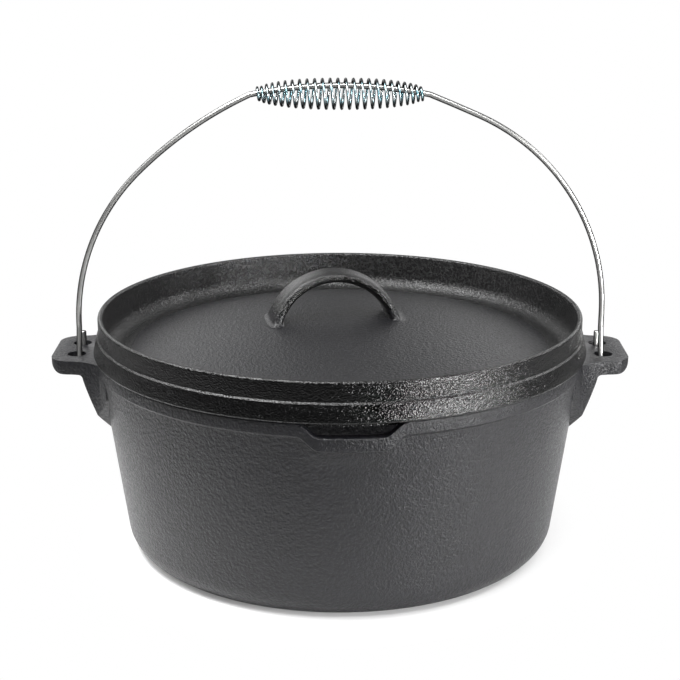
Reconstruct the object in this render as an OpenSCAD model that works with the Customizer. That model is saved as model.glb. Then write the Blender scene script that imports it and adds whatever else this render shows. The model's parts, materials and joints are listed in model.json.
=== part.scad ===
// Camp dutch oven: a flat-based cast pot with two ears, a rimmed lid with an arch handle,
// and a wire bail whose grip is a barrel-shaped coil spring.
// The origin is the centre of the base on the ground. The ears lie along X, the front is -Y.

/* [Pot] */
// Height of the pot up to its rim
pot_h = 125; // [100:1:160]
// Outer radius of the wall where its slope meets the ground
pot_base_r = 133.4; // [120:0.1:142]
// Outer radius of the wall at the rim
pot_rim_r = 150.7; // [143:0.1:170]
// Thickness of the wall
pot_wall = 5; // [3.5:0.1:7]
// Thickness of the floor
pot_floor = 6; // [4:0.1:10]
// Radius of the corner between base and wall
base_corner_r = 16; // [8:0.5:22]
// Radius of the corner inside, between floor and wall
inside_corner_r = 14; // [10:0.5:28]
// Height of the thickened band under the rim
band_h = 7.5; // [4:0.1:12]
// How far the band stands out from the wall at its lower edge
band_proud = 1.6; // [0.6:0.1:2.5]

/* [Vent notch] */
// Width of the notch across the rim
notch_w = 62; // [44:1:90]
// Width of the level land at the bottom of the notch
notch_land_w = 35; // [15:1:40]
// Depth of the notch below the rim
notch_d = 7.9; // [4:0.1:12]
// How far the dropped band under the notch stands out from the band beside it
notch_lip_proud = 1.2; // [0.3:0.1:2]
// Turn of the notch from the middle of the front
notch_turn = 2.5; // [-30:0.5:30]

/* [Ears] */
// Reach of an ear beyond the wall at the rim
ear_len = 27.8; // [24:0.1:36]
// Size of an ear along the pot
ear_depth = 56; // [50:1:76]
// Thickness of an ear
ear_t = 8.5; // [6:0.1:11]
// Drop of the top of the ears below the rim
ear_drop = 2.8; // [1:0.1:10]
// Radius of the corners at the tip of an ear
ear_corner_r = 12; // [4:0.5:20]
// Height of the square edge at the tip, above the rounded underside
ear_tip_t = 1; // [0.4:0.1:4]
// Radius of the flare where an ear runs into the wall
ear_flare_r = 28; // [12:1:40]
// Height of the bracket below an ear
bracket_h = 33.5; // [22:0.5:55]
// Width of the bracket at its foot
bracket_foot_w = 50; // [30:1:70]
// Radius of the outward bow of the bracket
bracket_bow_r = 110; // [60:1:160]
// Radius of the fillet between bracket and ear
bracket_fillet_r = 2.5; // [1:0.1:4]
// Gap between the bail's hook and the bracket
bracket_clear = 3; // [1:0.1:5]
// Radius of the bail holes in an ear
hole_r = 5.7; // [4.8:0.1:6.4]
// Distance between the two bail holes of an ear
hole_pitch = 24; // [20:0.5:30]
// Distance of the bail holes from the tip of an ear
hole_inset = 14.9; // [12:0.1:17]

/* [Lid] */
// Gap between the lid's seat and the rim of the pot
lid_seat_clear = 0.2; // [0.1:0.05:0.6]
// Overhang of the lid beyond the band of the pot
lid_overhang = 2.35; // [1:0.05:5]
// Height of the lid's standing rim above its seat
rim_h = 23.2; // [16:0.1:35]
// How much the rim draws in from its foot to its top
rim_lean = 3.6; // [2:0.1:6]
// Thickness of the rim at its rounded top
rim_t = 3; // [2:0.1:5]
// Height of the step line on the outside of the rim
step_h = 10.6; // [5:0.1:12]
// Width of the step
step_w = 1; // [0.2:0.1:1.4]
// Bevel at the lower edge of the lid
flange_edge = 1; // [0.3:0.1:2]
// Thickness of the lid's plate
lid_t = 4.8; // [3.5:0.1:7]
// Height of the plate's crown above the seat
crown_rise = 18.1; // [13:0.1:24]
// Radius of the trough between plate and rim
trough_r = 9; // [6:0.1:13]
// How far the lid hangs into the pot
lip_depth = 5.4; // [3.5:0.1:9]
// Gap between the hanging lip and the inside of the pot
lip_clear = 1; // [0.4:0.1:3]

/* [Lid handle] */
// Radius of the middle line of the arch
handle_r = 39; // [32:0.5:50]
// Width of the strap at the top of the arch
handle_w = 18; // [12:0.5:30]
// Width of the strap where its feet start to flare
handle_foot_w = 32; // [16:0.5:44]
// Thickness of the strap
handle_t = 7; // [5:0.1:10]
// Free height under the arch, above the crown
handle_gap = 22.3; // [15:0.1:34]
// Turn of the arch from the line through the ears
handle_turn = 10; // [-45:0.5:45]
// Place of the arch off the middle of the lid, along the ears
handle_side = -4; // [-20:0.5:20]
// Place of the arch off the middle of the lid, towards the back
handle_back = 2; // [-20:0.5:20]
// Flare of the feet beyond the strap
foot_flare = 3; // [1:0.1:7]
// Length of the leg over which a foot flares
foot_rise = 9; // [4:0.5:14]

/* [Bail] */
// Diameter of the bail wire
wire_d = 3.5; // [2.5:0.1:4.5]
// Gap between the hook and the edges of the web between the holes
hook_clear = 0.55; // [0.3:0.05:0.9]
// Offset of the legs from the hole centres, towards the pot
leg_inset = 1.1; // [0:0.1:1.6]
// Slant of the legs between hook and kink
leg_slant = 15; // [6:0.5:22]
// Bend radius of the kink
kink_bend_r = 8; // [4:0.5:16]
// Distance from the lower shoulder's foot down to the kink
kink_drop = 3; // [2.5:0.1:8]
// Height of the wire's free end above the ear
stub_rise = 8; // [4:0.1:8.4]
// Gap between grip and lid as the bail folds past the rim
swing_clear = 1.3; // [0.6:0.1:40]
// Radius of the shoulders above the ears
shoulder_r = 132.3; // [95:0.1:145]
// Slope of the wire below the bend at the left end of the grip
bend_left = 25; // [15:0.5:37]
// Slope of the wire below the bend at the right end of the grip
bend_right = 22; // [15:0.5:37]
// Radius of the left flank, between the bend and the shoulder
flank_left_r = 247; // [220:1:2000]
// Radius of the right flank
flank_right_r = 1000; // [220:1:2000]
// Radius of the bends at the ends of the grip
bend_r = 6; // [4:0.5:12]
// Rise of the wire inside the grip, above the middle line of the spring
grip_bow = 5; // [1:0.1:6]

/* [Grip spring] */
// Length of the spring along its wire's middle
spring_l = 100; // [75:1:125]
// Diameter of the spring's wire
coil_d = 1.6; // [1.2:0.1:1.7]
// Number of turns
coil_turns = 25; // [16:1:25]
// Radius of the turns in the middle of the barrel
barrel_r = 8.85; // [6:0.05:13]
// Radius of the first turns of the barrel
barrel_end_r = 4.2; // [3.6:0.1:6]
// Fullness of the barrel's outline
barrel_power = 2.4; // [1.6:0.1:4]
// Gap between the end turns and the bail wire
hug_clear = 1.2; // [0.9:0.05:1.4]
// Turns that hug the wire at each end
hug_turns = 1; // [0.5:0.1:1.5]
// Turns over which the coil opens from the wire to the barrel
blend_turns = 0.5; // [0.3:0.1:1]
// Share by which the middle turns are wider apart than the average
pitch_gain = 0.16; // [0.05:0.01:0.16]
// How late the turns close up towards the ends
pitch_power = 2.9; // [2:0.1:2.9]
// Gap between the spring and the bends of the bail
spring_end_gap = 0.8; // [0.8:0.1:5]

/* [Hidden] */
$fn = 96;

iron = "#2c2c2d";
bright_wire = "#c4c6c8";
zinc_wire = "#9aa1ab";

// Length by which a cut passes the face that it opens
over = 1;
// Reach of the bail's runs and flanks into its bends, and how much thinner they are
run_reach = 0.3;
run_slim = 0.02;
// Height above the rim at which the notch's shoulders start
notch_start = 0.3;
// Pieces of straight line in each rounded stretch of a section
arc_steps = 8;
notch_steps = 10;
strap_sides = 20;
strap_rings = 28;
tube_sides = 6;
rings_per_turn = 8;

// Points of an arc round a centre, from one angle to another
function arc(centre, r, from, to) =
    [for (i = [0:arc_steps]) centre + r * turned(from + (to - from) * i / arc_steps)];
function turned(angle) = [cos(angle), sin(angle)];
function flipped(points) = [for (i = [len(points) - 1:-1:0]) [points[i].x, -points[i].y]];

// Faces of a closed tube through rings of points
function ring_point(ring, side, sides) = ring * sides + side % sides;
function tube_faces(last, sides) = concat(
    [for (ring = [0:last - 1], side = [0:sides - 1]) each [
        [for (k = [[0, 0], [1, 0], [0, 1]]) ring_point(ring + k.x, side + k.y, sides)],
        [for (k = [[0, 1], [1, 0], [1, 1]]) ring_point(ring + k.x, side + k.y, sides)]]],
    [for (side = [1:sides - 2]) [0, side, side + 1]],
    [for (side = [1:sides - 2]) [for (k = [0, side + 1, side]) ring_point(last, k, sides)]]);

// Pot wall: a cone whose inside runs parallel to its outside
draft = atan((pot_rim_r - pot_base_r) / pot_h);
wall_run = pot_wall / cos(draft);
function wall_r(z) = pot_base_r + z * tan(draft);
function inner_r(z) = wall_r(z) - wall_run;
// Section of the cone from a floor up to a top, with a rounded corner
function cone_section(floor_z, top_z, inset, corner_r) =
    let (corner_z = floor_z + corner_r)
    let (corner = [wall_r(corner_z) - inset - corner_r / cos(draft), corner_z])
    concat([[0, floor_z]], arc(corner, corner_r, -90, -draft),
           [[wall_r(top_z) - inset, top_z], [0, top_z]]);

band_r = wall_r(pot_h - band_h) + band_proud;
band_low_z = pot_h - band_h;

// Notch: a level land between two shoulders, each a half wave
shoulder_w = (notch_w - notch_land_w) / 2;
function dip(x) =
    let (down = max(0, min(1, (abs(x) - notch_land_w / 2) / shoulder_w)))
    (notch_d + notch_start) * (1 + cos(180 * down)) / 2;
notch_xs = concat([for (i = [0:notch_steps]) -notch_w / 2 + shoulder_w * i / notch_steps],
                  [for (i = [0:notch_steps]) notch_land_w / 2 + shoulder_w * i / notch_steps]);
function dip_line(z) = [for (x = notch_xs) [x, z + notch_start - dip(x)]];

// Ear: its plan flares into the wall, and its side and front views carry the bracket
ear_top = pot_h - ear_drop;
ear_under = ear_top - ear_t;
ear_reach = pot_rim_r + ear_len;
ear_half = ear_depth / 2;
ear_under_r = ear_t - ear_tip_t;
hole_x = ear_reach - hole_inset;
pivot_z = ear_top - ear_t / 2;
root_r = wall_r(ear_top) - pot_wall / 4;
flare_y = ear_half + ear_flare_r;
flare_x = sqrt(pow(root_r + ear_flare_r, 2) - pow(flare_y, 2));
flare_turn = atan2(flare_y, flare_x);
root_x = root_r * cos(flare_turn) - 2 * pot_wall;
ear_side = concat([[root_x, -root_r * sin(flare_turn)]],
                  arc([flare_x, -flare_y], ear_flare_r, 180 - flare_turn, 90),
                  arc([ear_reach - ear_corner_r, ear_corner_r - ear_half], ear_corner_r, -90, 0));

leg_x = hole_x - leg_inset;
bracket_x = leg_x - wire_d / 2 - bracket_clear;
bow_top = [bracket_x, ear_under - bracket_fillet_r];
foot_z = ear_under - bracket_h;
bow_foot = [sqrt(pow(wall_r(foot_z), 2) - pow(bracket_foot_w / 2, 2)), foot_z];
bow_chord = bow_foot - bow_top;
bow_offset = sqrt(pow(bracket_bow_r, 2) - pow(norm(bow_chord) / 2, 2));
bow_centre = (bow_top + bow_foot) / 2 + bow_offset * [bow_chord.y, -bow_chord.x] / norm(bow_chord);
function bow_angle(point) = atan2(point.y - bow_centre.y, point.x - bow_centre.x);
// Straight run of the bracket from its bow down into the wall
tail_x = root_x - over;
tail_z = foot_z - (bow_foot.x - tail_x) / tan(-bow_angle(bow_foot));
ear_profile = concat([[tail_x, ear_top], [ear_reach, ear_top]],
                     arc([ear_reach - ear_under_r, ear_top - ear_tip_t], ear_under_r, 0, -90),
                     arc([bracket_x + bracket_fillet_r, bow_top.y], bracket_fillet_r, 90, 180),
                     arc(bow_centre, bracket_bow_r, bow_angle(bow_top), bow_angle(bow_foot)),
                     [[tail_x, tail_z]]);
// Half width of the bracket where that run ends, on the taper from the flare down past the foot
taper = (flare_y - bracket_foot_w / 2) / bracket_h;
tail_half = max(over, bracket_foot_w / 2 - taper * (foot_z - tail_z));

// Lid: a dome that falls into a trough inside the standing rim
seat_z = pot_h + lid_seat_clear;
flange_r = band_r + lid_overhang;
rim_r = flange_r - rim_lean;
rim_top = seat_z + rim_h;
step_z = seat_z + step_h;
crown_z = seat_z + crown_rise;
trough = [rim_r - rim_t - trough_r, seat_z - lip_depth + lid_t + trough_r];
fall = crown_z - trough.y;
dome_r = (pow(trough.x, 2) + pow(fall, 2) - pow(trough_r, 2)) / (2 * (trough_r + fall));
dome_centre = [0, crown_z - dome_r];
function dome_z(r) = dome_centre.y + sqrt(pow(dome_r, 2) - pow(r, 2));
// Angle at which dome and trough meet
meet = atan2(trough.y - dome_centre.y, trough.x);
lip_r = inner_r(seat_z - lip_depth) - lip_clear;
lip_turn = -acos((lip_r - trough.x) / (trough_r + lid_t));
lid_section = concat(arc(dome_centre, dome_r - lid_t, 90, meet),
                     arc(trough, trough_r + lid_t, meet - 180, lip_turn),
                     [[lip_r, seat_z], [flange_r - flange_edge, seat_z], [flange_r, seat_z + flange_edge]],
                     [[rim_r + step_w, step_z], [rim_r, step_z + step_w]],
                     arc([rim_r - rim_t / 2, rim_top - rim_t / 2], rim_t / 2, 0, 180),
                     arc(trough, trough_r, 0, meet - 180),
                     arc(dome_centre, dome_r, meet, 90));

// Lid handle: an arch whose ends stand in the middle of the plate
arch_z = crown_z + handle_gap + handle_t / 2 - handle_r;
arch_end = acos((dome_z(handle_r) - lid_t / 2 - arch_z) / handle_r);
foot_turn = foot_rise / handle_r * 180 / PI;
// Half thickness and half width of the strap at an angle from the top: it widens down to its flaring feet
function strap_half(angle) =
    let (flare = foot_flare * pow(max(0, 1 - (arch_end - abs(angle)) / foot_turn), 2))
    let (width = handle_w + (handle_foot_w - handle_w) * pow(angle / arch_end, 2))
    [handle_t / 2 + flare, width / 2 + flare];
// Share of a half size at an angle round the strap, for a section with rounded corners
function soft(value) = sign(value) * sqrt(abs(value));
function strap_ring(angle) =
    let (half = strap_half(angle))
    [for (i = [0:strap_sides - 1])
        let (a = 360 * (i + 0.5) / strap_sides)
        let (r = handle_r + half.x * soft(cos(a)))
        [r * sin(angle), -half.y * soft(sin(a)), r * cos(angle)]];
strap_points = [for (i = [0:strap_rings]) each strap_ring(arch_end * (2 * i / strap_rings - 1))];

// Bail: each end hooks round the web between the two holes of an ear
hook_r = norm([hole_pitch / 2 - hole_r, ear_t / 2]) + hook_clear + wire_d / 2;
grip_half = spring_l / 2 + coil_d / 2 + spring_end_gap;
grip_z = pivot_z + flange_r + barrel_r + coil_d / 2 + swing_clear;
// Inside the spring the wire is a flat arc, which falls at this slope where it leaves the spring
grip_slope = 2 * atan(grip_bow / grip_half);
grip_arc_r = grip_half / sin(grip_slope);
grip_end = [grip_half, grip_z] + wire_d / 2 * turned(-grip_slope);
// Each side bends down from the grip, runs down a flat flank, and curves over a shoulder to its leg
bend_centre = grip_end - bend_r * turned(90 - grip_slope);
function flank_centre(bend, flank_r) = bend_centre - (flank_r - bend_r) * turned(90 - bend);
// Slope at which the flank meets the shoulder, which ends upright over the ear
function flank_end(bend, flank_r) =
    asin((leg_x - shoulder_r - flank_centre(bend, flank_r).x) / (flank_r - shoulder_r));
function shoulder_z(bend, flank_r) =
    flank_centre(bend, flank_r).y + (flank_r - shoulder_r) * cos(flank_end(bend, flank_r));
kink_z = min(shoulder_z(bend_left, flank_left_r), shoulder_z(bend_right, flank_right_r)) - kink_drop;
kink_trim = kink_bend_r * tan(leg_slant / 2);
slant_l = (kink_z - pivot_z - hook_r * sin(leg_slant)) / cos(leg_slant);
bail_y = slant_l * sin(leg_slant) - hook_r * cos(leg_slant);

// Grip spring: a helix along X whose turns hug the wire at both ends
hug_r = wire_d / 2 + hug_clear + coil_d / 2;
function ease(t) = let (u = max(0, min(1, t))) u * u * (3 - 2 * u);
function along(turn) =
    let (s = 2 * turn / coil_turns - 1)
    spring_l / 2 * s * (1 + pitch_gain * (1 - pow(abs(s), pitch_power)));
function barrel(turn) =
    let (s = (2 * turn - coil_turns) / (coil_turns - 2 * hug_turns))
    barrel_end_r + (barrel_r - barrel_end_r) * (1 - pow(min(1, abs(s)), barrel_power));
function coil_r(turn) =
    hug_r + (barrel(turn) - hug_r) * ease((min(turn, coil_turns - turn) - hug_turns) / blend_turns);
function coil_point(turn) =
    [along(turn), coil_r(turn) * cos(360 * turn), coil_r(turn) * sin(360 * turn)];
function unit(v) = v / norm(v);
// Ring of points round the spring's wire, square to its run
function coil_ring(turn) =
    let (step = 1 / rings_per_turn / 4)
    let (run = unit(coil_point(turn + step) - coil_point(turn - step)))
    let (side = unit(cross(run, [0, cos(360 * turn), sin(360 * turn)])))
    let (out = cross(side, run))
    [for (i = [0:tube_sides - 1]) let (a = 360 * i / tube_sides)
        coil_point(turn) + coil_d / 2 * (cos(a) * out + sin(a) * side)];

ring_count = coil_turns * rings_per_turn;
coil_middles = [for (i = [0:ring_count]) coil_point(i / rings_per_turn)];
coil_points = [for (i = [0:ring_count]) each coil_ring(i / rings_per_turn)];
coil_faces = tube_faces(ring_count, tube_sides);
// Least gap between points that lie half a turn or more apart along the wire
coil_gap = min([for (i = [0:ring_count], j = [i + rings_per_turn / 2:1:ring_count])
    norm(coil_middles[i] - coil_middles[j])]) - coil_d;

module ear() {
    intersection() {
        translate([0, 0, tail_z])
            linear_extrude(pot_h - tail_z)
                polygon(concat(ear_side, flipped(ear_side)));
        rotate([90, 0, 0])
            linear_extrude(2 * flare_y + over, center = true)
                polygon(ear_profile);
        rotate([90, 0, 90])
            linear_extrude(ear_reach + over)
                polygon([[-flare_y, pot_h], [-flare_y, ear_under], [-tail_half, tail_z - over],
                         [tail_half, tail_z - over], [flare_y, ear_under], [flare_y, pot_h]]);
    }
}

// Upright wall across the front, above a line that follows the notch
module above_notch_line(z) {
    top_z = pot_h + 2 * over;
    rotate([0, 0, notch_turn])
        rotate([90, 0, 0])
            linear_extrude(flange_r)
                polygon(concat(dip_line(z), [[notch_w / 2, top_z], [-notch_w / 2, top_z]]));
}

module rim_band() {
    rotate_extrude()
        polygon([[inner_r(pot_h), pot_h], [band_r, pot_h], [band_r, band_low_z],
                 [wall_r(band_low_z - band_proud) - pot_wall / 2, band_low_z - band_proud - pot_wall / 2],
                 [inner_r(pot_h), band_low_z - band_proud - pot_wall / 2]]);
    intersection() {
        translate([0, 0, band_low_z - notch_d - over])
            cylinder(r = band_r + notch_lip_proud, h = band_h + notch_d);
        above_notch_line(band_low_z);
    }
}

module pot() {
    color(iron)
        difference() {
            union() {
                rotate_extrude()
                    polygon(cone_section(0, pot_h, 0, base_corner_r));
                rim_band();
                for (turn = [0, 180])
                    rotate([0, 0, turn])
                        ear();
            }
            rotate_extrude()
                polygon(cone_section(pot_floor, pot_h + over, wall_run, inside_corner_r));
            above_notch_line(pot_h);
            for (x = [-hole_x, hole_x], y = [-hole_pitch / 2, hole_pitch / 2])
                translate([x, y, pivot_z])
                    cylinder(r = hole_r, h = ear_t + 2 * bracket_fillet_r + 2 * over, center = true);
        }
}

module lid_handle() {
    translate([handle_side, handle_back, arch_z])
        rotate([0, 0, handle_turn])
            polyhedron(strap_points, tube_faces(strap_rings, strap_sides));
}

module lid() {
    color(iron) {
        rotate_extrude()
            polygon(lid_section);
        lid_handle();
    }
}

module wire_arc(r, angle) {
    rotate_extrude(angle = angle)
        translate([r, 0])
            circle(d = wire_d);
}

// Straight wire, a hair thinner than the bends that its ends reach into
module wire_run(length) {
    translate([0, 0, -run_reach])
        cylinder(d = wire_d - run_slim, h = length + 2 * run_reach);
}

// Flat arc of wire, likewise thinner than the bends at its ends
module wire_flank(r, angle) {
    reach = run_reach / r * 180 / PI;
    rotate([0, 0, -reach])
        rotate_extrude(angle = angle + 2 * reach)
            translate([r, 0])
                circle(d = wire_d - run_slim);
}

// Right half of the bail below the grip, with its own bend and flank
module bail_side(bend, flank_r) {
    flank_foot = flank_end(bend, flank_r);
    shoulder_low = shoulder_z(bend, flank_r);
    translate([grip_half, bail_y, grip_z])
        rotate([0, 90 + grip_slope, 0])
            wire_run(wire_d / 2);
    translate([bend_centre.x, bail_y, bend_centre.y])
        rotate([90, 0, 0])
            rotate([0, 0, 90 - bend])
                wire_arc(bend_r, bend - grip_slope);
    translate([flank_centre(bend, flank_r).x, bail_y, flank_centre(bend, flank_r).y])
        rotate([90, 0, 0])
            rotate([0, 0, 90 - flank_foot])
                wire_flank(flank_r, flank_foot - bend);
    translate([leg_x - shoulder_r, bail_y, shoulder_low])
        rotate([90, 0, 0])
            wire_arc(shoulder_r, 90 - flank_foot);
    translate([leg_x, bail_y, kink_z + kink_trim])
        wire_run(shoulder_low - kink_z - kink_trim);
    translate([leg_x, bail_y - kink_bend_r, kink_z + kink_trim])
        rotate([90, 0, 90])
            rotate([0, 0, -leg_slant])
                wire_arc(kink_bend_r, leg_slant);
    translate([leg_x, 0, pivot_z]) {
        rotate([-leg_slant, 0, 0])
            translate([0, -hook_r, 0])
                wire_run(slant_l - kink_trim);
        rotate([90, 0, 90])
            rotate([0, 0, 180 - leg_slant])
                wire_arc(hook_r, 180 + leg_slant);
        translate([0, hook_r, 0])
            wire_run(ear_t / 2 + stub_rise);
    }
}

module bail_wire() {
    color(bright_wire) {
        bail_side(bend_right, flank_right_r);
        mirror([1, 0, 0])
            bail_side(bend_left, flank_left_r);
        translate([0, bail_y, grip_z + grip_bow - grip_arc_r])
            rotate([90, 0, 0])
                rotate([0, 0, 90 - grip_slope])
                    wire_arc(grip_arc_r, 2 * grip_slope);
    }
}

module grip_spring() {
    echo(str("Least gap of the spring to itself: ", coil_gap, " mm"));
    color(zinc_wire)
        translate([0, bail_y, grip_z])
            polyhedron(coil_points, coil_faces);
}

pot();
lid();
bail_wire();
grip_spring();
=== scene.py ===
"""Camp dutch oven: a seasoned iron pot and lid, a bright wire bail and a barrel spring grip."""

import json
import math

import bmesh
import bpy
from mathutils import Matrix, Vector


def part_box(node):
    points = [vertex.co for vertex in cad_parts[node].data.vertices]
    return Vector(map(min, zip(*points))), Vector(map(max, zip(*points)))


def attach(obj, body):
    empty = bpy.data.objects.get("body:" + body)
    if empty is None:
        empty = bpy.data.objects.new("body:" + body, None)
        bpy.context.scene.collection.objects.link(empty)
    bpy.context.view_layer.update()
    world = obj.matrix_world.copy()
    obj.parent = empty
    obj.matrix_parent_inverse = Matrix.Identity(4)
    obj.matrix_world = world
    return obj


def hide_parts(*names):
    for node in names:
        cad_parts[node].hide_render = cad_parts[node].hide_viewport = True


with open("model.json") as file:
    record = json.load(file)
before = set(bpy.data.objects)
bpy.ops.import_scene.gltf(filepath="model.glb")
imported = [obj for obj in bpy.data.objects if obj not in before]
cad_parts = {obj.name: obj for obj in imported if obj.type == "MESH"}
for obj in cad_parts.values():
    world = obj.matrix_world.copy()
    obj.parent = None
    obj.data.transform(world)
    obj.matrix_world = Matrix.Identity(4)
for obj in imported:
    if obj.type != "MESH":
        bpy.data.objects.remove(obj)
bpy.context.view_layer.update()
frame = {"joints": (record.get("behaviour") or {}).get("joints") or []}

MM = 0.001
UP = Vector((0, 0, 1))

# Places that the frame gives
pot_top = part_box("pot")[1]
lid_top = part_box("lid")[1]
joints = {joint["name"]: joint for joint in frame["joints"]}
pivot_z = joints["bail_swing"]["pos_m"][2]
grip_y, grip_z = joints["grip_spin"]["pos_m"][1:]
rim_z = pot_top.z
lid_high_z = lid_top.z
ear_reach = pot_top.x
flange_r = lid_top.x

# Pot
base_r = 133.4 * MM
rim_r = 150.7 * MM
wall = 5 * MM
floor_t = 6 * MM
base_corner_r = 16 * MM
inside_corner_r = 14 * MM
band_h = 7.5 * MM
band_proud = 1.6 * MM
rim_round = 1.2 * MM
band_round = 0.5 * MM
wall_rings = 40
low_ring, high_ring = 6, 36
pot_steps = 480

# Vent notch
notch_w = 62 * MM
notch_land_w = 35 * MM
notch_d = 7.9 * MM
notch_turn = math.radians(2.5)
notch_lip_proud = 1.2 * MM
notch_reach = 22 * MM

# Ears
ear_depth = 56 * MM
ear_t = 8.5 * MM
ear_drop = 2.8 * MM
ear_corner_r = 12 * MM
ear_tip_t = 1 * MM
ear_flare_r = 28 * MM
ear_edge_r = 1.5 * MM
bracket_h = 33.5 * MM
bracket_foot_w = 50 * MM
bracket_bow_r = 110 * MM
bracket_fillet_r = 2.5 * MM
bracket_clear = 3 * MM
hole_r = 5.7 * MM
hole_pitch = 24 * MM
hole_inset = 14.9 * MM
hole_sides = 48
ear_steps = 14
bracket_fillet_steps = 6
bracket_bow_steps = 16

# Lid
lid_seat_clear = 0.2 * MM
rim_h = 23.2 * MM
rim_lean = 3.6 * MM
rim_t = 3 * MM
step_h = 10.6 * MM
step_w = 1 * MM
step_round = 0.25 * MM
lid_edge_r = 1.2 * MM
lid_t = 4.8 * MM
crown_rise = 18.1 * MM
trough_r = 9 * MM
lip_depth = 5.4 * MM
lip_clear = 1 * MM
lid_steps = 320
corner_steps = 5
dome_steps = 32
trough_steps = 16
rim_top_steps = 10
dome_under_steps = 24
trough_under_steps = 10

# Lid handle
handle_r = 39 * MM
handle_w = 18 * MM
handle_foot_w = 32 * MM
handle_t = 7 * MM
handle_soft = 0.6
handle_turn = math.radians(10)
handle_side = -4 * MM
handle_back = 2 * MM
foot_fillet_r = 2 * MM
arch_steps = 96
handle_sides = 64

# Bail
wire_r = 1.75 * MM
leg_inset = 1.1 * MM
leg_slant = math.radians(15)
kink_bend_r = 8 * MM
kink_drop = 3 * MM
stub_rise = 8 * MM
hook_clear = 0.55 * MM
shoulder_r = 132.3 * MM
bend_left, flank_left_r = math.radians(25), 247 * MM
bend_right, flank_right_r = math.radians(22), 1000 * MM
bend_r = 6 * MM
grip_bow = 5 * MM
bend_step = math.radians(4)
least_bend_steps = 4
kink_steps = 6
hook_steps = 40
least_step = 0.01 * MM
wire_sides = 20

# Grip spring
coil_r = 0.8 * MM
coil_turns = 25
spring_l = 100 * MM
barrel_r = 8.85 * MM
barrel_end_r = 4.2 * MM
barrel_power = 2.4
hug_clear = 1.2 * MM
hug_turns = 1
blend_turns = 0.5
pitch_gain = 0.16
pitch_power = 2.9
spring_end_gap = 0.8 * MM
coil_sides = 12
rings_per_turn = 28

# Meshes
smooth_angle = math.radians(35)
merge_distance = 0.001 * MM
bevel_segments = 3
cap_turns = (0.35, 0.75, 1.15)

# Finishes
noise_range = 0.35, 0.65
grain_size = 1.8 * MM
blotch_size = 45 * MM
speck_share, blotch_share = 0.7, 0.3
iron_specular = 0.45
iron_dark = (0.0015, 0.0015, 0.002, 1)
pot_light = (0.008, 0.008, 0.0105, 1)
pot_peel_size = 4 * MM
pot_relief = 1.1 * MM
plate_light = (0.009, 0.009, 0.0105, 1)
rim_peel_size = 0.9 * MM
lid_relief = 0.6 * MM
handle_gloss_from, handle_gloss_to = 26 * MM, 22 * MM
wire_metallic = 0.9
# Where the painted shade on the wire's sides begins and where it is full, by how far the wire
# turns away from the view
wire_edge_shade_range = 0.08, 0.4
scratch_size = 0.6 * MM
scratch_depth = 0.01 * MM
scratch_strength = 0.1

# Stage
camera_place = (0, -963.6 * MM, 413.15 * MM)
camera_tilt = 16.51
camera_lens = 84.7
sensor_w = 36
floor_size = 12
floor_front_y = -0.55
floor_dim, floor_bright = 0.2, 0.76
floor_white = 0.15
shadow_w = 35 * MM
screen_from, screen_to = (0.02, 0.3), (0.4, 0.75)
room_front_to_back = -0.35, 0.15
oven_middle = (0, 0, 0.13)
inside_middle = (0, 0, 0.11)


# Curves in a plane


def arc(centre, r, start, end, steps=12):
    """Points of an arc in a plane, angles in radians."""
    turns = [start + (end - start) * i / steps for i in range(steps + 1)]
    return [Vector((centre[0] + r * math.cos(a), centre[1] + r * math.sin(a))) for a in turns]


def rounded(corners, steps=8):
    """An open outline of (x, z, radius) corners, with each corner rounded to its radius."""
    points = [Vector(corners[0][:2])]
    for before, corner, after in zip(corners, corners[1:], corners[2:]):
        here = Vector(corner[:2])
        if not corner[2]:
            points.append(here)
            continue
        back = (Vector(before[:2]) - here).normalized()
        ahead = (Vector(after[:2]) - here).normalized()
        half = back.angle(ahead) / 2
        centre = here + (back + ahead).normalized() * corner[2] / math.sin(half)
        reach = corner[2] / math.tan(half)
        first, last = here + back * reach - centre, here + ahead * reach - centre
        start = math.atan2(first.y, first.x)
        sweep_angle = (math.atan2(last.y, last.x) - start + math.pi) % (2 * math.pi) - math.pi
        points += arc(centre, corner[2], start, start + sweep_angle, steps)
    return points + [Vector(corners[-1][:2])]


def ease(t):
    """Eases from 0 to 1 as t does, and stays there on both sides."""
    t = max(0, min(1, t))
    return t * t * (3 - 2 * t)


# Modelling by hand


def start_piece():
    """Leaves edit mode with nothing selected."""
    if bpy.context.object and bpy.context.object.mode == "EDIT":
        bpy.ops.object.mode_set(mode="OBJECT")
    bpy.ops.object.select_all(action="DESELECT")


def pick(piece):
    """Makes a piece the only one selected, and the active one."""
    start_piece()
    bpy.context.view_layer.objects.active = piece
    piece.select_set(True)


def finish_mesh(name):
    """Merges doubles, turns the faces outwards and shades the active piece."""
    bpy.ops.mesh.select_all(action="SELECT")
    bpy.ops.mesh.remove_doubles(threshold=merge_distance)
    bpy.ops.mesh.normals_make_consistent(inside=False)
    bpy.ops.object.mode_set(mode="OBJECT")
    bpy.ops.object.shade_smooth_by_angle(angle=smooth_angle)
    piece = bpy.context.object
    piece.name = name
    piece.data.name = name
    return piece


def draw_line(points):
    """Draws a line of points from a plane that is merged to one vertex."""
    start_piece()
    bpy.ops.mesh.primitive_plane_add(size=wall)
    bpy.ops.object.mode_set(mode="EDIT")
    bpy.ops.mesh.merge(type="CENTER")
    bpy.ops.transform.translate(value=points[0])
    for here, there in zip(points, points[1:]):
        bpy.ops.mesh.extrude_vertices_move(TRANSFORM_OT_translate={"value": there - here})
    bpy.ops.mesh.select_all(action="SELECT")


def lathe(name, outline, steps):
    """Spins an outline of (radius, height) points round the pot's axis."""
    draw_line([Vector((x, 0, z)) for x, z in outline])
    bpy.ops.mesh.spin(steps=steps, angle=2 * math.pi, center=(0, 0, 0), axis=UP)
    return finish_mesh(name)


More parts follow.
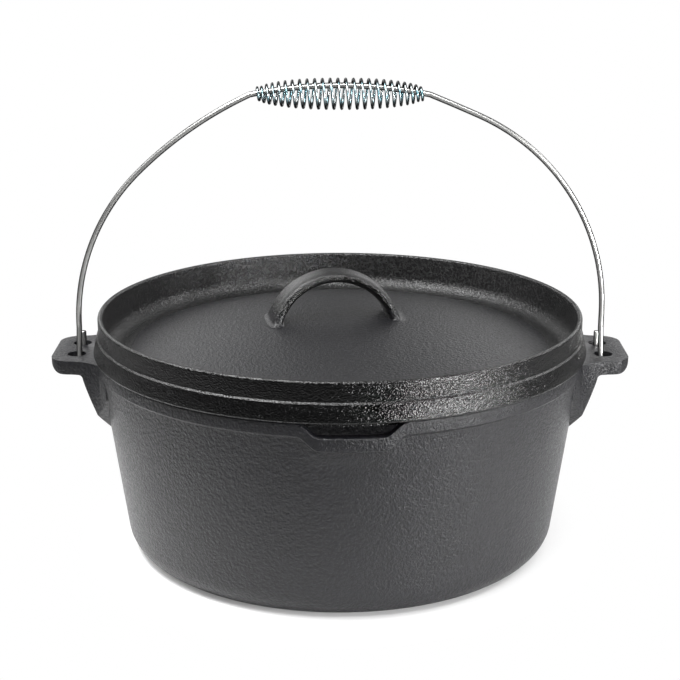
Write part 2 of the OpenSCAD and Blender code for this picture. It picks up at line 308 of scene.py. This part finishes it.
def prism(name, points, depth):
    """A closed outline of points in space, extruded by the vector depth."""
    draw_line(points)
    bpy.ops.mesh.edge_face_add()
    bpy.ops.mesh.extrude_region_move(TRANSFORM_OT_translate={"value": depth})
    return finish_mesh(name)


def sweep(name, places, sides, soft=1):
    """Extrudes a round face through places that set each ring; a soft below 1 squares it off."""
    start_piece()
    bpy.ops.mesh.primitive_circle_add(vertices=sides, radius=1, fill_type="NGON")
    bpy.ops.object.mode_set(mode="EDIT")
    for vertex in bmesh.from_edit_mesh(bpy.context.object.data).verts:
        vertex.co = [math.copysign(abs(c) ** soft, c) for c in vertex.co]
    here = Matrix.Identity(4)
    for place in places:
        if place is not places[0]:
            bpy.ops.mesh.extrude_region_move()
        mesh = bmesh.from_edit_mesh(bpy.context.object.data)
        step = place @ here.inverted()
        for vertex in mesh.verts:
            if vertex.select:
                vertex.co = step @ vertex.co
        here = place
    bmesh.update_edit_mesh(bpy.context.object.data)
    return finish_mesh(name)


def wire_places(points, r, end_round):
    """Places of the rings of a round wire along a line of points, with rounded ends."""
    runs = [(b - a).normalized() for a, b in zip(points, points[1:])]
    ways = [runs[0]] + [(a + b).normalized() for a, b in zip(runs, runs[1:])] + [runs[-1]]
    across = ways[0].orthogonal().normalized()
    rings = []
    for point, way in zip(points, ways):
        across = (across - way * across.dot(way)).normalized()
        rings.append((point, way, across, r))
    caps = [(end_round * math.cos(a), r - end_round * (1 - math.sin(a))) for a in cap_turns]
    start, start_way, start_side, _ = rings[0]
    end, end_way, end_side, _ = rings[-1]
    first = [(start - start_way * out, start_way, start_side, size) for out, size in caps]
    last = [(end + end_way * out, end_way, end_side, size) for out, size in reversed(caps)]
    places = []
    for point, way, side, size in first + rings + last:
        other = way.cross(side)
        places.append(Matrix((side * size, other * size, way * size)).transposed().to_4x4())
        places[-1].translation = point
    return places


def apply_modifier(piece, modifier):
    """Makes a modifier's change part of the mesh."""
    pick(piece)
    bpy.ops.object.modifier_apply(modifier=modifier.name)


def combine(piece, tool, operation):
    """Cuts, joins or crosses the piece with a tool, which is used up."""
    change = piece.modifiers.new("combine", "BOOLEAN")
    change.operation = operation
    change.solver = "EXACT"
    change.object = tool
    apply_modifier(piece, change)
    bpy.data.objects.remove(tool)


def round_edges(piece, r):
    """Rounds the sharp edges of a piece, as far as its shortest edges allow."""
    bevel = piece.modifiers.new("round", "BEVEL")
    bevel.width = r
    bevel.segments = bevel_segments
    bevel.limit_method = "ANGLE"
    bevel.angle_limit = smooth_angle
    apply_modifier(piece, bevel)
    bpy.ops.object.shade_smooth_by_angle(angle=smooth_angle)


# Pot casting

draft = math.atan((rim_r - base_r) / rim_z)
wall_run = wall / math.cos(draft)
band_low_z = rim_z - band_h


def wall_at(z):
    """The radius of the wall's outside at a height."""
    return base_r + z * math.tan(draft)


band_r = wall_at(band_low_z) + band_proud

# Places on the right ear, and the centre of the arc by which it flares out of the wall
ear_top = rim_z - ear_drop
ear_under = ear_top - ear_t
ear_half = ear_depth / 2
hole_x = ear_reach - hole_inset
leg_x = hole_x - leg_inset
root_r = wall_at(ear_top) - wall / 4
flare_centre = Vector((0, -ear_half - ear_flare_r))
flare_centre.x = math.sqrt((root_r + ear_flare_r) ** 2 - flare_centre.y ** 2)
flare_turn = math.atan2(-flare_centre.y, flare_centre.x)
root_x = root_r * math.cos(flare_turn) - 2 * wall
bracket_low_z = ear_under - bracket_h
bracket_half = bracket_foot_w / 2


def notch_dip(point):
    """How far the rim drops at a point round the pot."""
    ahead = Vector((math.sin(notch_turn), -math.cos(notch_turn), 0))
    if point.dot(ahead) < 0:
        return 0
    across = abs(point.x * math.cos(notch_turn) + point.y * math.sin(notch_turn))
    down = (across - notch_land_w / 2) / (notch_w - notch_land_w) * 2
    return notch_d * (1 + math.cos(math.pi * max(0, min(1, down)))) / 2


def drop_notch(piece):
    """Lets the rim and its band dip into the vent notch, and evens out the wall below."""
    for vertex in piece.data.vertices:
        dip = notch_dip(vertex.co)
        share = ease((vertex.co.z - band_low_z + notch_reach) / notch_reach)
        if dip * share == 0:
            continue
        outward = Vector((vertex.co.x, vertex.co.y, 0))
        if outward.length > rim_r:
            vertex.co += outward.normalized() * notch_lip_proud * dip / notch_d
        vertex.co.z -= dip * share


def ear_plan():
    """The right ear from above: it flares out of the wall and curves round its corners."""
    corner = Vector((ear_reach - ear_corner_r, ear_corner_r - ear_half))
    meet = math.atan2(corner.y - flare_centre.y, corner.x - flare_centre.x)
    side = [Vector((root_x, -root_r * math.sin(flare_turn)))]
    side += arc(flare_centre, ear_flare_r, math.pi - flare_turn, meet, ear_steps)
    side += arc(corner, ear_corner_r, meet - math.pi, 0, ear_steps)[1:]
    return side + [Vector((p.x, -p.y)) for p in reversed(side)]


def ear_profile():
    """The right ear from the front, a plate over a bowed bracket, and the height of its tail."""
    under_r = ear_t - ear_tip_t
    bracket_x = leg_x - wire_r - bracket_clear
    bow_top = Vector((bracket_x, ear_under - bracket_fillet_r))
    low_x = math.sqrt(wall_at(bracket_low_z) ** 2 - bracket_half ** 2)
    bow_foot = Vector((low_x, bracket_low_z))
    chord = bow_foot - bow_top
    offset = math.sqrt(bracket_bow_r ** 2 - (chord.length / 2) ** 2)
    centre = (bow_top + bow_foot) / 2 + offset * Vector((chord.y, -chord.x)) / chord.length
    turns = [math.atan2(p.y - centre.y, p.x - centre.x) for p in (bow_top, bow_foot)]
    tail_x = root_x - wall
    tail_z = bracket_low_z - (bow_foot.x - tail_x) / math.tan(-turns[1])
    fillet_middle = (bracket_x + bracket_fillet_r, bow_top.y)
    profile = [Vector((tail_x, ear_top)), Vector((ear_reach, ear_top))]
    profile += arc((ear_reach - under_r, ear_top - ear_tip_t), under_r, 0, -math.pi / 2)
    profile += arc(fillet_middle, bracket_fillet_r, math.pi / 2, math.pi, bracket_fillet_steps)
    profile += arc(centre, bracket_bow_r, turns[0], turns[1], bracket_bow_steps)
    profile.append(Vector((tail_x, tail_z)))
    return profile, tail_z


def ear():
    """The right ear with its bracket: its plan crossed with its profile and a tapered gusset."""
    profile, tail_z = ear_profile()
    low_z = tail_z - wall
    plan = [Vector((p.x, p.y, low_z)) for p in ear_plan()]
    piece = prism("ear", plan, UP * (rim_z - tail_z + wall))
    deep = ear_depth + 2 * ear_flare_r
    slab = prism("slab", [Vector((p.x, -deep / 2, p.y)) for p in profile], Vector((0, deep, 0)))
    combine(piece, slab, "INTERSECT")
    spread = ear_half + ear_flare_r - bracket_half
    tail_half = bracket_half - (bracket_low_z - tail_z) * spread / bracket_h
    taper = [(deep / 2, rim_z), (deep / 2, ear_under), (tail_half, low_z)]
    taper += [(-y, z) for y, z in reversed(taper)]
    gusset = prism("gusset", [Vector((0, y, z)) for y, z in taper], Vector((2 * ear_reach, 0, 0)))
    combine(piece, gusset, "INTERSECT")
    for y in (-hole_pitch / 2, hole_pitch / 2):
        start_piece()
        bpy.ops.mesh.primitive_cylinder_add(vertices=hole_sides, radius=hole_r, depth=4 * ear_t,
                                            location=(hole_x, y, pivot_z))
        bpy.ops.object.transform_apply()
        combine(piece, bpy.context.object, "DIFFERENCE")
    round_edges(piece, ear_edge_r)
    cut_root(piece)
    return piece


def cut_root(piece):
    """Ends an ear halfway through the pot's wall, so that nothing of it shows inside."""
    high_z = rim_z + wall
    low_r, high_r = [wall_at(z) - wall_run / 2 for z in (0, high_z)]
    tool = lathe("inside", [(0, 0), (low_r, 0), (high_r, high_z), (0, high_z)], pot_steps)
    combine(piece, tool, "DIFFERENCE")


def make_pot():
    """The pot: a spun wall and floor, the vent notch, and an ear on each side."""
    ring_zs = [rim_z * i / wall_rings for i in range(low_ring, high_ring)]
    rings = [(wall_at(z), z, 0) for z in ring_zs]
    corners = [(0, 0, 0), (base_r, 0, base_corner_r)] + rings
    corners += [(wall_at(band_low_z - band_proud), band_low_z - band_proud, band_round),
                (band_r, band_low_z, band_round),
                (band_r, rim_z, rim_round),
                (rim_r - wall_run, rim_z, rim_round)]
    corners += [(x - wall_run, z, 0) for x, z, _ in reversed(rings)]
    inside_r = base_r - wall_run + floor_t * math.tan(draft)
    corners += [(inside_r, floor_t, inside_corner_r), (0, floor_t, 0)]
    piece = lathe("pot_casting", rounded(corners), pot_steps)
    drop_notch(piece)
    right = ear()
    pick(right)
    bpy.ops.object.duplicate()
    left = bpy.context.object
    left.rotation_euler.z = math.pi
    bpy.ops.object.transform_apply()
    for tool in (right, left):
        combine(piece, tool, "UNION")
    return piece


# Lid casting

seat_z = rim_z + lid_seat_clear
rim_outer_r = flange_r - rim_lean
rim_top_z = seat_z + rim_h
step_z = seat_z + step_h
crown_z = seat_z + crown_rise
trough = Vector((rim_outer_r - rim_t - trough_r, seat_z - lip_depth + lid_t + trough_r))
fall = crown_z - trough.y
dome_r = (trough.x ** 2 + fall ** 2 - trough_r ** 2) / (2 * (trough_r + fall))
dome_centre = Vector((0, crown_z - dome_r))
dome_meet = math.atan2(trough.y - dome_centre.y, trough.x)


def dome_z(r):
    """The height of the lid's plate at a radius."""
    return dome_centre.y + math.sqrt(dome_r ** 2 - r ** 2)


def lid_outline():
    """The lid's section, from the middle of its underside round the rim to the crown."""
    lip_r = wall_at(seat_z - lip_depth) - wall_run - lip_clear
    lip_turn = -math.acos((lip_r - trough.x) / (trough_r + lid_t))
    under = arc(dome_centre, dome_r - lid_t, math.pi / 2, dome_meet, dome_under_steps)
    under += arc(trough, trough_r + lid_t, dome_meet - math.pi, lip_turn, trough_under_steps)
    outside = rounded([(under[-1].x, under[-1].y, 0),
                       (lip_r, seat_z, lid_edge_r / 2),
                       (flange_r, seat_z, lid_edge_r),
                       (rim_outer_r + step_w, step_z, step_round),
                       (rim_outer_r, step_z + step_w, step_round),
                       (rim_outer_r, rim_top_z - rim_t / 2, 0)], corner_steps)
    top_middle = (rim_outer_r - rim_t / 2, rim_top_z - rim_t / 2)
    top = arc(top_middle, rim_t / 2, 0, math.pi, rim_top_steps)
    inside = arc(trough, trough_r, 0, dome_meet - math.pi, trough_steps)
    dome = arc(dome_centre, dome_r, dome_meet, math.pi / 2, dome_steps)
    return under + outside[1:] + top[1:] + inside + dome[1:]


def handle_places():
    """Rings along the arch; near the plate they level out and widen to a fillet."""
    arch_z = lid_high_z - handle_t / 2 - handle_r
    end = math.acos((dome_z(handle_r) - lid_t / 2 - arch_z) / handle_r)
    middle = Matrix.Translation((handle_side, handle_back, arch_z))
    middle = middle @ Matrix.Rotation(handle_turn, 4, "Z")
    places = []
    for i in range(arch_steps + 1):
        turn = end * (2 * i / arch_steps - 1)
        above = handle_r * (end - abs(turn)) - lid_t / 2
        lift = max(0, min(1, above / foot_fillet_r))
        fillet = foot_fillet_r * (1 - math.sqrt(1 - (1 - lift) ** 2))
        level = ease(1 - above / (2 * foot_fillet_r)) * (math.pi / 2 - abs(turn))
        level *= 1 if turn > 0 else -1
        width = handle_w + (handle_foot_w - handle_w) * (turn / end) ** 2
        size = Matrix.Diagonal((width / 2 + fillet, handle_t / 2 + fillet, handle_t / 2, 1))
        ring = (Matrix.Rotation(turn, 4, "Y") @ Matrix.Translation((0, 0, handle_r))
                @ Matrix.Rotation(level, 4, "Y") @ Matrix.Rotation(math.pi / 2, 4, "Y")
                @ Matrix.Rotation(math.pi / 2, 4, "Z"))
        places.append(middle @ ring @ size)
    return places


def make_lid():
    """The lid: its spun section joined with the arch handle."""
    piece = lathe("lid_casting", lid_outline(), lid_steps)
    combine(piece, sweep("handle", handle_places(), handle_sides, handle_soft), "UNION")
    pick(piece)
    bpy.ops.object.shade_smooth_by_angle(angle=smooth_angle)
    return piece


# Bail and grip

grip_half = spring_l / 2 + coil_r + spring_end_gap
grip_slope = 2 * math.atan(grip_bow / grip_half)
grip_arc_r = grip_half / math.sin(grip_slope)
bend_centre = Vector((grip_half + wire_r * math.cos(grip_slope) - bend_r * math.sin(grip_slope),
                      grip_z - wire_r * math.sin(grip_slope) - bend_r * math.cos(grip_slope)))
hook_r = math.hypot(hole_pitch / 2 - hole_r, ear_t / 2) + hook_clear + wire_r


class BailSide:
    """Half of the wire: a bend beside the grip, a flat flank, a shoulder, a leg and its hook."""

    def __init__(self, bend, flank_r):
        self.bend = bend
        self.flank_r = flank_r
        outward = Vector((math.sin(bend), math.cos(bend)))
        self.flank_centre = bend_centre - (flank_r - bend_r) * outward
        shoulder_x = leg_x - shoulder_r - self.flank_centre.x
        self.flank_end = math.asin(shoulder_x / (flank_r - shoulder_r))
        self.leg_top_z = self.flank_centre.y + (flank_r - shoulder_r) * math.cos(self.flank_end)

    def points(self, kink_z):
        """Points from the middle of the grip down to the free end behind the ear."""
        shoulder_centre = (leg_x - shoulder_r, self.leg_top_z)
        stretches = [((0, grip_z + grip_bow - grip_arc_r), grip_arc_r, 0, grip_slope),
                     (bend_centre, bend_r, grip_slope, self.bend),
                     (self.flank_centre, self.flank_r, self.bend, self.flank_end),
                     (shoulder_centre, shoulder_r, self.flank_end, math.pi / 2)]
        side = []
        for centre, r, start, end in stretches:
            steps = max(least_bend_steps, round(math.sqrt(r / bend_r) * (end - start) / bend_step))
            side += arc(centre, r, math.pi / 2 - start, math.pi / 2 - end, steps)
        points = [Vector((p.x, grip_y, p.y)) for p in side]
        trim = kink_bend_r * math.tan(leg_slant / 2)
        low = arc((grip_y - kink_bend_r, kink_z + trim), kink_bend_r, 0, -leg_slant, kink_steps)
        low += arc((0, pivot_z), hook_r, math.pi - leg_slant, 2 * math.pi, hook_steps)
        points += [Vector((leg_x, p.x, p.y)) for p in low]
        points.append(points[-1] + UP * (ear_t / 2 + stub_rise))
        kept = [a for a, b in zip(points, points[1:]) if (b - a).length > least_step]
        return kept + points[-1:]


def make_bail():
    """The bail: one wire from the free end at the left ear to the one at the right ear."""
    sides = BailSide(bend_left, flank_left_r), BailSide(bend_right, flank_right_r)
    kink_z = min(side.leg_top_z for side in sides) - kink_drop
    left, right = [side.points(kink_z) for side in sides]
    left = [Vector((-p.x, p.y, p.z)) for p in left]
    return sweep("bail", wire_places(left[:0:-1] + right, wire_r, wire_r / 3), wire_sides)


def coil_point(turn):
    """A point on the middle of the spring's wire after some turns."""
    s = 2 * turn / coil_turns - 1
    along = spring_l / 2 * s * (1 + pitch_gain * (1 - abs(s) ** pitch_power))
    share = min(1, abs(2 * turn - coil_turns) / (coil_turns - 2 * hug_turns))
    barrel = barrel_end_r + (barrel_r - barrel_end_r) * (1 - share ** barrel_power)
    hug = wire_r + hug_clear + coil_r
    r = hug + (barrel - hug) * ease((min(turn, coil_turns - turn) - hug_turns) / blend_turns)
    a = 2 * math.pi * turn
    return Vector((along, grip_y + r * math.cos(a), grip_z + r * math.sin(a)))


def make_spring():
    """The grip: one wire along the whole coil."""
    points = [coil_point(i / rings_per_turn) for i in range(coil_turns * rings_per_turn + 1)]
    return sweep("spring_grip", wire_places(points, coil_r, coil_r / 4), coil_sides)


# Finishes


class Signal:
    """An output socket in a graph, so that sums on it add Math nodes."""

    def __init__(self, graph, socket):
        self.graph = graph
        self.socket = socket

    def sum(self, operation, first, second):
        """A Math node on two signals or numbers."""
        return self.graph.add("ShaderNodeMath", {"operation": operation}, {0: first, 1: second})

    def __add__(self, other):
        return self.sum("ADD", self, other)

    __radd__ = __add__

    def __sub__(self, other):
        return self.sum("SUBTRACT", self, other)

    def __rsub__(self, other):
        return self.sum("SUBTRACT", other, self)

    def __mul__(self, other):
        return self.sum("MULTIPLY", self, other)


class Graph:
    """The nodes of a material or of the world."""

    def __init__(self, owner, coordinates="Object"):
        owner.use_nodes = True
        self.owner = owner
        self.tree = owner.node_tree
        self.tree.nodes.clear()
        self.place = self.add("ShaderNodeTexCoord", out=coordinates)

    def add(self, kind, settings=None, sockets=None, out=0):
        """One node: its type, its settings, and the values or links of its sockets."""
        node = self.tree.nodes.new(kind)
        for key, value in (settings or {}).items():
            setattr(node, key, value)
        for key, value in (sockets or {}).items():
            if isinstance(value, Signal):
                self.tree.links.new(value.socket, node.inputs[key])
            else:
                node.inputs[key].default_value = value
        return Signal(self, node.outputs[out]) if node.outputs else None

    def part(self, axis, vector):
        """One part of a vector: X, Y or Z."""
        return self.add("ShaderNodeSeparateXYZ", {}, {0: vector}, out=axis)

    def reach(self):
        """Distance from the pot's axis."""
        flat = self.add("ShaderNodeVectorMath", {"operation": "MULTIPLY"},
                        {0: self.place, 1: (1, 1, 0)})
        return self.add("ShaderNodeVectorMath", {"operation": "LENGTH"}, {0: flat}, out="Value")

    def noise(self, size, detail, roughness=0.5):
        """Noise whose lumps are about the size given, in metres, from 0 to 1."""
        sockets = {"Vector": self.place, "Scale": 1 / size,
                   "Detail": detail, "Roughness": roughness}
        return self.add("ShaderNodeTexNoise", {}, sockets)

    def blend(self, value, start, end):
        """Eases from 0 to 1 as a value goes from start to end."""
        return self.add("ShaderNodeMapRange", {"interpolation_type": "SMOOTHSTEP"},
                        {"Value": value, "From Min": start, "From Max": end})

    def mix(self, share, first, second):
        """A colour between two colours."""
        return self.add("ShaderNodeMix", {"data_type": "RGBA"},
                        {0: share, 6: first, 7: second}, out=2)

    def bump(self, height, distance, strength=1.0):
        """A normal that follows a height from 0 to 1, which stands for a distance in metres."""
        return self.add("ShaderNodeBump", {},
                        {"Height": height, "Strength": strength, "Distance": distance})

    def surface(self, sockets):
        """Ends a material with a surface of these sockets, and gives the material."""
        shader = self.add("ShaderNodeBsdfPrincipled", {}, sockets)
        self.add("ShaderNodeOutputMaterial", {}, {"Surface": shader})
        return self.owner


def new_finish(name):
    """The nodes of a new material."""
    return Graph(bpy.data.materials.new(name))


def grey(value):
    """A colour without a tint."""
    return value, value, value, 1


def iron_grain(finish):
    """The grain of the sand mould, the specks that it makes, and the blotches of the seasoning."""
    grain = finish.noise(grain_size, 3, 0.65)
    speck = finish.blend(grain, *noise_range)
    blotch = finish.noise(blotch_size, 3)
    return grain, speck, blotch


def pot_finish():
    """Seasoned iron of the pot: matt, with the grain of the sand mould."""
    finish = new_finish("pot_iron")
    grain, speck, blotch = iron_grain(finish)
    peel = finish.noise(pot_peel_size, 2)
    colour = finish.mix(speck * speck_share + blotch * blotch_share, iron_dark, pot_light)
    relief = grain * 0.8 + peel * 0.2
    return finish.surface({"Base Color": colour,
                           "Roughness": 0.42 - speck * 0.12 + (blotch - 0.5) * 0.1,
                           "Specular IOR Level": iron_specular,
                           "Normal": finish.bump(relief, pot_relief)})


def lid_finish():
    """Iron of the lid: a matt plate, a glossy rim and handle with a peel, and a trough and inner
    rim given a lighter colour, a painted sheen for the light caught there.
    """
    finish = new_finish("lid_iron")
    grain, speck, blotch = iron_grain(finish)
    peel = finish.noise(rim_peel_size, 1)
    reach = finish.reach()
    height = finish.part("Z", finish.place)
    rim = finish.blend(reach, trough.x - 1.1 * trough_r, trough.x - 0.7 * trough_r)
    outside = finish.blend(reach, rim_outer_r - 0.9 * rim_t, rim_outer_r - 0.5 * rim_t)
    inside = rim * (1 - outside)
    handle = finish.blend(height, lid_high_z - handle_gloss_from, lid_high_z - handle_gloss_to)
    glossy = finish.add("ShaderNodeMath", {"operation": "MAXIMUM"}, {0: rim, 1: handle})
    matt = finish.mix(speck * speck_share + blotch * blotch_share, iron_dark, plate_light)
    dark = finish.mix(peel, grey(0.0006), grey(0.002))
    # Painted sheen: the trough and the inside of the rim get a lighter colour that stands for
    # light caught there; its specks follow the grain
    painted_sheen = finish.mix(speck, grey(0.004), grey(0.02))
    relief = grain * (0.9 - glossy * 0.7 + inside * 0.3) + peel * glossy * 0.7
    return finish.surface({"Base Color": finish.mix(inside, finish.mix(glossy, matt, dark), painted_sheen),
                           "Roughness": 0.4 - speck * 0.12 - glossy * 0.16,
                           "Specular IOR Level": iron_specular,
                           "Normal": finish.bump(relief, lid_relief)})


def wire_finish(name, edge_shade, face, tint, bloom_size):
    """Bright metal wire whose plating varies along it, with painted shade on its edges where it
    turns away from the view.
    """
    finish = new_finish(name)
    bloom = finish.noise(bloom_size, 3)
    scratch = finish.noise(scratch_size, 2)
    facing = finish.add("ShaderNodeLayerWeight", {}, {"Blend": 0.5}, out="Facing")
    bright = finish.mix(finish.blend(bloom, *noise_range), face, tint)
    # Painted shade: the wire takes the dark edge colour where it faces away from the view,
    # standing for the dark reflection along its sides
    colour = finish.mix(finish.blend(facing, *wire_edge_shade_range), bright, edge_shade)
    return finish.surface({"Base Color": colour, "Metallic": wire_metallic,
                           "Roughness": 0.25 + bloom * 0.1,
                           "Normal": finish.bump(scratch, scratch_depth, scratch_strength)})


def bail_finish():
    """Bright steel."""
    return wire_finish("bright_wire", edge_shade=grey(0.03), face=(0.80, 0.80, 0.78, 1),
                       tint=(0.60, 0.60, 0.59, 1), bloom_size=20 * MM)


def spring_finish():
    """Zinc with a blue tint."""
    return wire_finish("blue_zinc", edge_shade=(0.012, 0.014, 0.015, 1), face=(0.60, 0.64, 0.64, 1),
                       tint=(0.26, 0.48, 0.55, 1), bloom_size=6 * MM)


def dress(piece, material, body, node):
    """Gives a piece its finish and its body, and hides the node that it stands for."""
    piece.data.materials.clear()
    piece.data.materials.append(material)
    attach(piece, body)
    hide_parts(node)


# Studio


def floor_finish():
    """Pale floor that takes the shadow near the oven and fades to the white behind it."""
    finish = new_finish("studio_floor")
    reach = finish.reach()
    clear = finish.blend(reach, base_r - base_corner_r, base_r + shadow_w)
    fade = clear * (1 - floor_white) + floor_white
    seen = finish.add("ShaderNodeLightPath", out="Is Camera Ray")
    behind = finish.blend(finish.part("Y", finish.place), -2.3 * base_r, -base_r)
    near = behind * (1 - finish.blend(reach, 1.7 * base_r, 3 * base_r))
    colour = finish.mix(near, grey(floor_dim), grey(floor_bright))
    plain = finish.add("ShaderNodeBsdfDiffuse", {}, {"Color": colour})
    white = finish.add("ShaderNodeEmission", {}, {"Color": grey(1), "Strength": 1.0})
    shader = finish.add("ShaderNodeMixShader", {}, {0: fade * seen, 1: plain, 2: white})
    finish.add("ShaderNodeOutputMaterial", {}, {"Surface": shader})
    return finish.owner


def make_floor():
    """The floor: a plane that begins in front of the oven and runs far behind it."""
    start_piece()
    bpy.ops.mesh.primitive_plane_add(size=floor_size,
                                     location=(0, floor_size / 2 + floor_front_y, 0))
    bpy.ops.object.transform_apply()
    floor = bpy.context.object
    floor.name = "floor"
    floor.data.materials.append(floor_finish())


def make_world(front, back, sides):
    """White to the camera; to the oven a dim room, pale behind it and white beside that."""
    bpy.context.scene.world = bpy.data.worlds.new("studio")
    sky = Graph(bpy.context.scene.world, "Generated")
    across = sky.add("ShaderNodeMath", {"operation": "ABSOLUTE"}, {0: sky.part("X", sky.place)})
    beside = sky.blend(across, *screen_from) * (1 - sky.blend(across, *screen_to))
    screens = beside * (sides - back) + back
    behind = sky.blend(sky.part("Y", sky.place), *room_front_to_back)
    room = behind * (screens - front) + front
    seen = sky.add("ShaderNodeLightPath", out="Is Camera Ray")
    strength = room + seen * (1 - room)
    light = sky.add("ShaderNodeBackground", {}, {"Color": grey(1), "Strength": strength})
    sky.add("ShaderNodeOutputWorld", {}, {"Surface": light})


def make_lamp(name, target, place, size, power):
    """A soft oblong lamp that faces a target."""
    lamp = bpy.data.lights.new(name, "AREA")
    lamp.shape = "RECTANGLE"
    lamp.size, lamp.size_y = size
    lamp.energy = power
    stand = bpy.data.objects.new(name, lamp)
    stand.location = place
    stand.rotation_euler = (Vector(target) - Vector(place)).to_track_quat("-Z", "Y").to_euler()
    bpy.context.scene.collection.objects.link(stand)


def make_camera():
    """Camera in front of the oven and higher than its bail, looking down at it."""
    lens = bpy.data.cameras.new("camera")
    lens.sensor_width = sensor_w
    lens.lens = camera_lens
    camera = bpy.data.objects.new("camera", lens)
    camera.location = camera_place
    camera.rotation_euler = (math.radians(90 - camera_tilt), 0, 0)
    bpy.context.scene.collection.objects.link(camera)
    bpy.context.scene.camera = camera


make_camera()
dress(make_pot(), pot_finish(), "pot", "pot")
dress(make_lid(), lid_finish(), "lid", "lid")
dress(make_bail(), bail_finish(), "bail", "bail_wire")
dress(make_spring(), spring_finish(), "grip", "grip_spring")

make_floor()
make_world(front=0.04, back=0.12, sides=1.6)
make_lamp("left_softbox", oven_middle, place=(-0.55, -0.25, 1.25), size=(0.9, 0.3), power=24)
make_lamp("right_softbox", oven_middle, place=(0.9, -0.8, 0.22), size=(0.2, 0.45), power=20)
make_lamp("front_softbox", oven_middle, place=(0.1, -0.9, 1.3), size=(1.2, 0.2), power=14)
make_lamp("right_side_light", oven_middle, place=(0.95, 0.1, 0.75), size=(0.35, 0.35), power=7)
make_lamp("left_side_light", oven_middle, place=(-0.95, 0.1, 0.75), size=(0.35, 0.35), power=5)
make_lamp("inside_fill", (0, 0, 0), place=inside_middle, size=(0.1, 0.1), power=0.15)

bpy.context.scene.view_settings.view_transform = "Standard"
